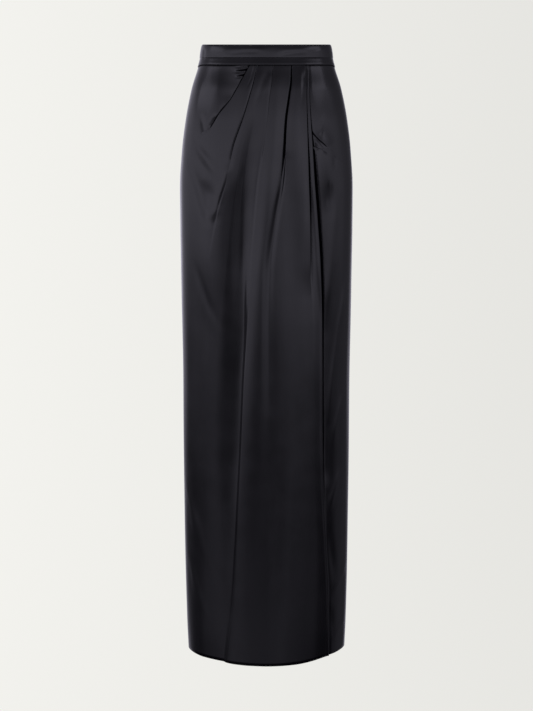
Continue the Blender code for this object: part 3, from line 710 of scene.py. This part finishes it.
def make_under(finishes):
    rows = rows_of(PANEL_TOP, LENGTH - UNDER_SHORTER, SPACING, HEM)
    first = places_of(np.full(len(rows[0]), UNDER_EDGE_X), rows[0])
    last = lap_edge(POCKET_RIGHT, 1, rows[0])
    hidden = line_places("free_edge", rows[0]) - UNDER_HIDDEN
    middle = np.minimum(hidden, first + UNDER_HIDDEN_SHARE * (last - first))
    columns = [first, spread(first, middle, UNDER_PARTS[0]), spread(middle, last, UNDER_PARTS[1])]
    columns = with_turnings(np.hstack(columns), None, MOUTH_TURNING)
    return make_cloth("under_cloth", "front_under", rows, columns, under_shape, finishes)


HIP_SPACING = ((0.03, 0.0009), (0.06, 0.0012), (0.1, 0.0024), (0.25, 0.003))
HIP_PARTS = 90
POCKET_FACING = 0.026


def make_hip(name, node, table, way, shape, finishes):
    """A pocket's facing, which is also the top of the hip beside its mouth."""
    rows = rows_of(PANEL_TOP, table[-1][0] * MM, HIP_SPACING, 0)
    inner = pocket_places(table, way, rows[0]) - way * POCKET_FACING
    outer = side_places(way, rows[0]) - way * SEAM_GAP
    first, last = (inner, outer) if way > 0 else (outer, inner)
    left, right = (None, SEAM_TURNING) if way > 0 else (SEAM_TURNING, None)
    columns = with_turnings(np.hstack([first, spread(first, last, HIP_PARTS)]), left, right)
    return make_cloth(name, node, rows, columns, shape, finishes)


BACK_PARTS = (30, 12)  # columns from the side to the dart, and on to the centre
DART_COLUMNS = (-9, -6, -4, -2.6, -1.6, -0.9, -0.4, 0, 0.4, 0.9, 1.6, 2.6, 4, 6, 9)


def make_back(name, node, way, finishes):
    rows = rows_of(PANEL_TOP, LENGTH, SPACING, HEM)
    side = side_places(way, rows[0]) + way * SEAM_GAP
    centre = back_places(way, rows[0]) - way * CENTRE_GAP
    dart = centre - way * DART_ROUND + np.array(DART_COLUMNS) * MM
    first, last = (side, centre) if way > 0 else (centre, side)
    before, after = BACK_PARTS[::way]
    columns = [first, spread(first, dart[:, :1], before), dart[:, 1:], spread(dart[:, -1:], last, after)]
    columns = with_turnings(np.hstack(columns), SEAM_TURNING, SEAM_TURNING)
    return make_cloth(name, node, rows, columns, back_shape, finishes)


# The waistband's section, as below and out: its outer face and the rows along it, then the
# rest of the way round, with the inner face between the top and the inner turning
BAND_PROFILE = (
    (0, 0.5), (1, 1.4), (3, 1.9), (6, 2), (12, 1.8), (20, 1.4), (22.9, 1.2),
    (23.7, 0.7), (24.5, 0.9), (29, 1.6), (34, 2.3), (36, 2.2),
)
BAND_ROWS = (
    36, 34.5, 33, 31, 29, 27, 25.5, 24.5, 24.1, 23.7, 23.3, 22.9, 22, 20.5, 19, 17.5, 16, 14.5,
    13, 11.5, 10, 8.5, 7, 5.5, 4, 2.8, 1.8, 1,
)
BAND_OUTER_TURNING = ((30, 0.4), (35.4, 0.5), (36.1, 1))
BAND_TOP = ((0.45, 0.55), (0.1, 0), (0, -0.5), (0.3, -1.1), (1.2, -1.6))
BAND_INSIDE = -1.6
BAND_INNER_ROWS = (4, 35.5, 9)  # the first and the last of them, and how many
BAND_INNER_TURNING = ((36, -1.1), (35, -0.7), (30, -0.6))
BAND_COLUMNS = 261
# Its lower edge dips at the side seams, by this, within this reach of them; the dip and the
# creases each set in at a depth, over another
BAND_DIP = 5.0 * MM
BAND_DIP_REACH = 0.020
BAND_DIP_FROM = (14, 22)
BAND_CREASED_FROM = (3, 6)
BAND_CREASES = (
    # height, above, below, starts, ends, path as (below, right of the centre)
    (0.35, 5, 6, 0.3, 0.3, ((13, -92), (9, -60), (7, -20), (10, 4), (15, 14))),
    (0.4, 5, 6, 0.3, 0.3, ((17, 8), (10, 30), (7, 60), (8, 84))),
    (0.25, 4, 4, 0.3, 0.3, ((19, -80), (17, -50), (15, -30))),
    (-0.3, 3, 3, 0.3, 0.3, ((19, 20), (15, 50), (13, 78))),
    (-0.3, 3, 3, 0.3, 0.3, ((18, -70), (13, -34), (12, -6))),
    (0.3, 3, 3, 0.3, 0.3, ((16, 84), (9, 98), (7, 106))),
    (-0.6, 6, 6, 0.3, 0.3, ((6, -108), (30, -112))),
)


def band_section():
    """The waistband's section all round: below, out, and how much its creases show there."""
    starts, run = BAND_CREASED_FROM
    face = [(d, monotone(*zip(*BAND_PROFILE), d), smooth((d - starts) / run)) for d in BAND_ROWS]
    inner = [(d, BAND_INSIDE) for d in np.linspace(*BAND_INNER_ROWS)]
    rest = [(d, out, 0) for d, out in (*BAND_TOP, *inner, *BAND_INNER_TURNING)]
    return [(d, out, 0) for d, out in BAND_OUTER_TURNING] + face + rest


def make_waistband(finishes):
    """A folded band, with its two ends meeting over the zip."""
    starts, run = BAND_DIP_FROM
    mesh = bmesh.new()
    grid = []
    for depth, out, creased in band_section():
        level = ring(depth * MM)
        place = np.linspace(-1, 1, BAND_COLUMNS) * (level.half - 0.5 * ZIP_SLIT)
        near_side = np.exp(-(((np.abs(place) - level.side) / BAND_DIP_REACH) ** 2))
        dip = BAND_DIP * near_side * smooth((depth - starts) / run)
        below = np.full_like(place, depth * MM)
        more = creased * creases(BAND_CREASES, below[None, :], place[None, :])[0]
        x, y = level.points(place, out * MM + more)
        grid.append([mesh.verts.new(point) for point in zip(x, y, -below - dip)])
    skin(mesh, grid[::-1])
    return cloth_piece("waistband_cloth", "waistband", mesh, finishes)


# ---- the zip: two tapes behind the centre seam, the coil's turns that close it, and its
# stitches
ZIP_TOP = 0.002
ZIP_LENGTH = 0.205
TAPE_OUT = -0.0024
TAPE_WALL = 0.0008
TAPE_COLUMNS = (0.2, 1, 2.2, 3, 3.4, 5, 7, 9.4, 9.8, 10.4, 11)  # round from the centre
TAPE_RIBS = (0.1, 0, 0, -0.1, 0, 0, 0, 0, 0.12, 0.12, 0)
TAPE_ROWS = 82
TURN_PITCH = 0.00125
TURN_HALF = 0.0019
TURN_LEAN = 0.0001
TURN_RADIUS = 0.00045
TURN_OUT = TAPE_OUT - TAPE_WALL - 0.0006
TURN_SIDES = 6
STITCH_LENGTH = 0.0020
STITCH_PITCH = 0.0029
STITCH_RADIUS = 0.00016
STITCH_SIDES = 5
STITCH_ROWS = (-8.2, -3.2, 3.2, 8.2)
STITCH_OUT = TAPE_OUT - TAPE_WALL - 0.00008
STITCH_MARGINS = (0.002, 0.004)  # from the tape's top and from its end
ROD_END = (0.9, 0.45)  # how far past its end a rod's last loop is, and its size, in radii
ROD_CROSS = (0.3, 0.4, 0.87)  # a direction that no rod has


def zip_point(below, aside, out):
    """A point beside the centre back, in the skirt's own frame."""
    level = ring(below)
    x, y = level.points([level.half + aside], out)
    return x[0], y[0], -below


def rod(mesh, start, end, radius, sides):
    """A thin rod with rounded ends between two points."""
    start, end = np.array(start), np.array(end)
    along = (end - start) / np.linalg.norm(end - start)
    across = np.cross(along, ROD_CROSS)
    across /= np.linalg.norm(across)
    up = np.cross(along, across)
    past, small = ROD_END
    turns = [2 * math.pi * k / sides for k in range(sides)]
    loops = []
    for centre, size in ((start - along * past * radius, small), (start, 1), (end, 1),
                         (end + along * past * radius, small)):
        points = [centre + radius * size * (math.cos(t) * across + math.sin(t) * up) for t in turns]
        loops.append([mesh.verts.new(point) for point in points])
    skin(mesh, closed(loops[::-1]))
    mesh.faces.new(loops[0][::-1])
    mesh.faces.new(loops[-1])


def zip_piece(name, mesh, finish):
    bmesh.ops.recalc_face_normals(mesh, faces=mesh.faces)
    piece = add_piece(name, mesh, (finish,))
    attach(piece, "root")
    return piece


def make_tape(finish):
    mesh = bmesh.new()
    for way in (-1, 1):
        grid = []
        for below in np.linspace(ZIP_TOP, ZIP_LENGTH, TAPE_ROWS):
            row = zip(TAPE_COLUMNS, TAPE_RIBS)
            points = [zip_point(below, way * aside * MM, TAPE_OUT + rib * MM) for aside, rib in row]
            grid.append([mesh.verts.new(point) for point in points][::way])
        skin(mesh, grid)
    tape = zip_piece("zip_tape_cloth", mesh, finish)
    wall = tape.modifiers.new("tape", "SOLIDIFY")
    wall.thickness = TAPE_WALL
    wall.offset = -1
    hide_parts("zip_tape")
    return tape


def make_coil(finish):
    mesh = bmesh.new()
    for below in np.arange(ZIP_TOP + TURN_PITCH, ZIP_LENGTH - TURN_PITCH, TURN_PITCH):
        ends = [zip_point(below + way * TURN_LEAN, way * TURN_HALF, TURN_OUT) for way in (-1, 1)]
        rod(mesh, *ends, TURN_RADIUS, TURN_SIDES)
    return zip_piece("zip_coil", mesh, finish)


def make_stitches(finish):
    mesh = bmesh.new()
    above, under = STITCH_MARGINS
    for aside in STITCH_ROWS:
        for below in np.arange(ZIP_TOP + above, ZIP_LENGTH - under, STITCH_PITCH):
            ends = [zip_point(d, aside * MM, STITCH_OUT) for d in (below, below + STITCH_LENGTH)]
            rod(mesh, *ends, STITCH_RADIUS, STITCH_SIDES)
    return zip_piece("zip_stitches", mesh, finish)


# ---- finishes
PATCH_SPAN = (0.35, 0.65)  # the part of the noise's range that their patches use
PATCH_DETAIL = 3
GRAIN_DETAIL = 2

# How the finishes vary: colours, roughness, the size of their patches as a noise scale, and
# their grain: noise scale, its stretch along the cloth's length, distance, strength; a weave
# has its threads' scale, distance, strength
SATIN_GRAIN = ((55, 0.10, 0.0007, 0.35), (1400, 0.22, 0.0002, 0.06))
FINISHES = {
    "satin_face": {
        "colours": ((0.0025, 0.0023, 0.0034), (0.0036, 0.0032, 0.0047)),
        "roughness": (0.185, 0.215),
        "patches": 26,
        "grain": SATIN_GRAIN,
    },
    "satin_reverse": {
        "colours": ((0.011, 0.0105, 0.013), (0.016, 0.0155, 0.019)),
        "roughness": (0.46, 0.56),
        "patches": 26,
        "grain": ((55, 0.10, 0.0005, 0.25), (2100, 0.5, 0.0002, 0.25)),
    },
    "woven_tape": {
        "colours": ((0.010, 0.010, 0.011), (0.020, 0.020, 0.022)),
        "roughness": (0.62, 0.78),
        "patches": 300,
        "grain": ((1500, 1.0, 0.0002, 0.3),),
        "weave": (420, 0.00015, 0.6),
    },
    "nylon_coil": {
        "colours": ((0.010, 0.010, 0.011), (0.016, 0.016, 0.017)),
        "roughness": (0.30, 0.42),
        "patches": 500,
        "grain": ((2500, 1.0, 0.0001, 0.15),),
    },
    "black_lacquer": {
        "colours": ((0.020, 0.020, 0.022), (0.046, 0.045, 0.047)),
        "roughness": (0.16, 0.38),
        "patches": 380,
        "grain": ((1200, 0.35, 0.0001, 0.12),),
    },
}


class Tree:
    """The node tree of a material or a world. Its methods add a node and give its output."""

    def __init__(self, owner):
        owner.use_nodes = True
        self.nodes, self.links = owner.node_tree.nodes, owner.node_tree.links

    def put(self, value, socket):
        """Gives a socket a plain value, or an output of another node."""
        if isinstance(value, bpy.types.NodeSocket):
            self.links.new(value, socket)
        else:
            socket.default_value = value

    def add(self, kind, output, inputs=None, **settings):
        node = self.nodes.new("ShaderNode" + kind)
        for name, value in settings.items():
            setattr(node, name, value)
        for name, value in (inputs or {}).items():
            self.put(value, node.inputs[name])
        return node.outputs[output]

    def math(self, operation, *values):
        return self.add("Math", "Value", dict(enumerate(values)), operation=operation)

    def noise(self, where, scale, detail):
        return self.add("TexNoise", "Fac", {"Vector": where, "Scale": scale, "Detail": detail})

    def span(self, value, start, end):
        """A value moved from one range to another."""
        ends = {"From Min": start[0], "From Max": start[1], "To Min": end[0], "To Max": end[1]}
        return self.add("MapRange", "Result", {"Value": value, **ends})

    def ramp(self, value, stops):
        """A colour that runs through stops, each a value from 0 to 1 and a colour."""
        colour = self.add("ValToRGB", "Color", {"Fac": value})
        made = colour.node.color_ramp.elements
        while len(made) < len(stops):
            made.new(0.5)
        for stop, (at, shade) in zip(made, stops):
            stop.position = at
            stop.color = (*shade, 1)
        return colour

    def bump(self, height, distance, strength, under):
        """One more layer of relief, over the one under it."""
        inputs = {"Height": height, "Distance": distance, "Strength": strength}
        return self.add("Bump", "Normal", {**inputs, "Normal": under} if under else inputs)


def make_finish(name, colours, roughness, patches, grain, weave=None):
    made = bpy.data.materials.new(name)
    tree = Tree(made)
    inputs = tree.nodes["Principled BSDF"].inputs
    where = tree.add("TexCoord", "Object")
    broad = tree.noise(where, patches, PATCH_DETAIL)
    tree.put(tree.ramp(broad, list(zip(PATCH_SPAN, colours))), inputs["Base Color"])
    tree.put(tree.span(broad, PATCH_SPAN, roughness), inputs["Roughness"])
    normal = None
    for scale, stretch, distance, strength in grain:
        along = tree.add("Mapping", "Vector", {"Vector": where, "Scale": (1, 1, stretch)})
        normal = tree.bump(tree.noise(along, scale, GRAIN_DETAIL), distance, strength, normal)
    if weave:
        scale, distance, strength = weave
        for way in ("X", "Z"):
            threads = tree.add("TexWave", "Fac", {"Vector": where, "Scale": scale}, bands_direction=way)
            normal = tree.bump(threads, distance, strength, normal)
    tree.put(normal, inputs["Normal"])
    return made


# ---- the studio
# The room that the cloth reflects: its brightness by the height looked at (the sine of the
# angle above the horizon), times its share by the turn from the front, to the right
ROOM = (0.88, 0.85, 1.02)
ROOM_BRIGHT = 1.11
ROOM_HEIGHTS = (
    (-0.37, 0.02), (-0.335, 0.38), (-0.29, 0.5), (-0.25, 0.38), (-0.215, 0.14),
    (-0.18, 0.1), (-0.15, 0.4), (-0.11, 0.88), (-0.05, 1), (0.1, 1), (0.2, 0.66),
    (0.34, 0.48), (0.4, 0.36), (0.46, 0.25), (0.55, 0.2), (0.64, 0.34), (0.8, 0.5), (1, 0.6),
)
ROOM_TURNS = (
    (-180, 0.7), (-150, 0.62), (-130, 0.5), (-112, 0.62), (-95, 0.83), (-75, 0.98), (-30, 1),
    (-12, 0.85), (8, 0.83), (24, 0.96), (34, 1), (46, 0.9), (60, 0.83), (76, 0.75), (88, 0.62),
    (100, 0.41), (112, 0.15), (130, 0.04), (155, 0.08), (168, 0.5), (180, 0.7),
)
# What dims it, each by height and by turn: straight in front, low down to the left of that,
# low down further round to the right and to the left, and the floor at either side
DIMS = (
    (
        ((-0.25, 0), (-0.21, 1), (-0.09, 1), (-0.05, 0)),
        ((-35, 0), (-18, 0.22), (-8, 0.5), (0, 0.7), (8, 0.5), (18, 0.22), (35, 0)),
    ),
    (
        ((-0.235, 0), (-0.21, 0.9), (-0.185, 1), (-0.12, 1), (-0.1, 0.4), (-0.08, 0)),
        ((-46, 0), (-34, 0.6), (-26, 0.97), (-12, 0.97), (-5, 0.55), (4, 0)),
    ),
    (
        ((-0.16, 1), (-0.12, 0.5), (-0.09, 0)),
        ((16, 0), (30, 0.38), (56, 0.42), (66, 0.7), (86, 0.7), (104, 0)),
    ),
    (
        ((-0.17, 1), (-0.13, 0.3), (-0.1, 0)),
        ((-100, 0.35), (-60, 0.12), (-40, 0)),
    ),
    (
        ((-0.25, 1), (-0.21, 0)),
        ((-95, 0.6), (-60, 0), (60, 0), (95, 0.6)),
    ),
)
# What is added to it: a faint fill, and more behind and low down
FILL_TURNS = ((92, 0), (112, 0.11), (128, 0.1), (145, 0.05), (180, 0))
BACK_HEIGHTS = ((-1, 0.5), (-0.45, 1), (-0.08, 1), (-0.02, 0))
BACK_TURNS = ((-180, 0.42), (-158, 0.34), (-138, 0.06), (-125, 0), (142, 0), (160, 0.3), (180, 0.42))
BACKDROP = (0.870, 0.865, 0.830)
# Painted light on the backdrop: how brightly it glows at the picture's left side and at its right
BACKDROP_PAINTED_LIGHT = (1.03, 0.91)  # at the picture's left side and at its right
BACKDROP_HALF = 0.78  # from the middle of the picture to its sides


def table_ramp(tree, value, table, first, last):
    """A number read from a table by a value that runs from first to last. Beyond its rows it
    keeps their first and last number."""
    stops = [((at - first) / (last - first), (share,) * 3) for at, share in table]
    return tree.ramp(tree.span(value, (first, last), (0, 1)), stops)


def make_world():
    world = bpy.data.worlds.new("studio")
    bpy.context.scene.world = world
    tree = Tree(world)
    where = tree.add("SeparateXYZ", "Z", {"Vector": tree.add("TexCoord", "Generated")}).node.outputs
    turned_by = tree.math("ARCTAN2", where["X"], tree.math("MULTIPLY", where["Y"], -1))

    def by_height(table):
        return table_ramp(tree, where["Z"], table, -1, 1)

    def by_turn(table):
        turns = [(math.radians(angle), share) for angle, share in table]
        return table_ramp(tree, turned_by, turns, -math.pi, math.pi)

    light = tree.math("MULTIPLY", by_height(ROOM_HEIGHTS), by_turn(ROOM_TURNS))
    for heights, turns in DIMS:
        dim = tree.math("MULTIPLY", by_height(heights), by_turn(turns))
        light = tree.math("MULTIPLY", light, tree.math("SUBTRACT", 1, dim))
    light = tree.math("ADD", light, by_turn(FILL_TURNS))
    light = tree.math("ADD", light, tree.math("MULTIPLY", by_height(BACK_HEIGHTS), by_turn(BACK_TURNS)))
    light = tree.math("MULTIPLY", light, ROOM_BRIGHT)
    room = tree.nodes["Background"]
    tree.put((*ROOM, 1), room.inputs["Color"])
    tree.put(light, room.inputs["Strength"])
    seen = tree.add("Background", "Background", {"Color": (*BACKDROP, 1)})
    inputs = {"Fac": tree.add("LightPath", "Is Camera Ray"), 1: room.outputs["Background"], 2: seen}
    mixed = tree.add("MixShader", "Shader", inputs)
    tree.put(mixed, tree.nodes["World Output"].inputs["Surface"])


# The plain pale floor, which rises into a backdrop all round: seen from outside it is clear.
# It glows with painted light, brighter at the picture's left and dimmer at its right, and shows
# no shadow. It stays out of the cloth's reflections, where the room has its place.
SWEEP_FLOOR = -1.55
SWEEP_FLAT = 1.4
SWEEP_BEND = 1.1
SWEEP_TOP = 4.5
SWEEP_PARTS = 12
SWEEP_TURNS = 96


def sweep_material():
    made = bpy.data.materials.new("backdrop")
    tree = Tree(made)
    tree.nodes.remove(tree.nodes["Principled BSDF"])
    across = tree.add("SeparateXYZ", "X", {"Vector": tree.add("TexCoord", "Object")})
    # Painted light: the backdrop's glow is brighter at the picture's left and dimmer at its right, as if
    # lit from the left
    strength = tree.span(across, (-BACKDROP_HALF, BACKDROP_HALF), BACKDROP_PAINTED_LIGHT)
    painted_glow = tree.add("Emission", "Emission", {"Color": (*BACKDROP, 1), "Strength": strength})
    clear = tree.add("BsdfTransparent", "BSDF")
    outside = tree.add("NewGeometry", "Backfacing")
    mixed = tree.add("MixShader", "Shader", {"Fac": outside, 1: painted_glow, 2: clear})
    tree.put(mixed, tree.nodes["Material Output"].inputs["Surface"])
    made.cycles.emission_sampling = "NONE"
    return made


def make_sweep():
    profile = [(SWEEP_FLAT, SWEEP_FLOOR)]
    for angle in np.linspace(0, math.pi / 2, SWEEP_PARTS + 1)[1:]:
        along, up = SWEEP_BEND * math.sin(angle), SWEEP_BEND * (1 - math.cos(angle))
        profile.append((SWEEP_FLAT + along, SWEEP_FLOOR + up))
    profile.append((SWEEP_FLAT + SWEEP_BEND, SWEEP_TOP))
    mesh = bmesh.new()
    turns = [2 * math.pi * k / SWEEP_TURNS for k in range(SWEEP_TURNS)]
    loops = []
    for away, up in profile:
        loops.append([mesh.verts.new((away * math.cos(t), away * math.sin(t), up)) for t in turns])
    mesh.faces.new(loops[0])
    skin(mesh, closed(loops))
    sweep = add_piece("sweep", mesh, (sweep_material(),))
    sweep.visible_glossy = sweep.visible_diffuse = sweep.visible_shadow = False


# The soft boxes at either side: name, turn from the front to the right, width, power, rise
SIDE_BOXES = (("left_box", -90, 1.7, 1.9, 15), ("right_box", 80, 1.9, 2.3, 18))
BOX_AWAY = 3.0
BOX_HIGH = 0.55


def make_box(name, turn, wide, power, rise):
    """A soft box, which looks at the middle of the waist."""
    turn, rise = math.radians(turn), math.radians(rise)
    light = bpy.data.lights.new(name, "AREA")
    light.shape = "RECTANGLE"
    light.size, light.size_y = wide, BOX_HIGH
    light.energy = power
    light.color = ROOM
    lamp = bpy.data.objects.new(name, light)
    away = BOX_AWAY * math.cos(rise)
    lamp.location = (away * math.sin(turn), -away * math.cos(turn), BOX_AWAY * math.sin(rise))
    lamp.rotation_euler = (math.pi / 2 - rise, 0, turn)
    bpy.context.scene.collection.objects.link(lamp)


CAMERA_BACK = 4.05
CAMERA_ASIDE = 0.0002
CAMERA_TILT = 82.065
LENS = 113.0
SENSOR = 36


def make_camera():
    data = bpy.data.cameras.new("camera")
    data.lens = LENS
    data.sensor_width = SENSOR
    camera = bpy.data.objects.new("camera", data)
    camera.location = (CAMERA_ASIDE, -CAMERA_BACK, 0)
    camera.rotation_euler = (math.radians(CAMERA_TILT), 0, 0)
    bpy.context.scene.collection.objects.link(camera)
    bpy.context.scene.camera = camera


def make_studio():
    bpy.context.scene.view_settings.view_transform = "Standard"
    make_camera()
    make_world()
    make_sweep()
    for box in SIDE_BOXES:
        make_box(*box)


def main():
    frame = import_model()
    finishes = {name: make_finish(name, **facts) for name, facts in FINISHES.items()}
    cloths = (finishes["satin_face"], finishes["satin_reverse"])
    band = make_waistband(cloths)
    panels = [
        make_wrap(cloths),
        make_under(cloths),
        make_hip("left_hip_cloth", "pocket_left", POCKET_LEFT, -1, left_hip_shape, cloths),
        make_hip("right_hip_cloth", "pocket_right", POCKET_RIGHT, 1, right_hip_shape, cloths),
        make_back("back_right_cloth", "back_right", 1, cloths),
        make_back("back_left_cloth", "back_left", -1, cloths),
    ]
    tape = make_tape(finishes["woven_tape"])
    coil = make_coil(finishes["nylon_coil"])
    stitches = make_stitches(finishes["woven_tape"])
    for node in ("zip_slider", "zip_pull"):
        for place in frame["nodes"][node].material_slots:
            place.material = finishes["black_lacquer"]
    make_studio()


main()
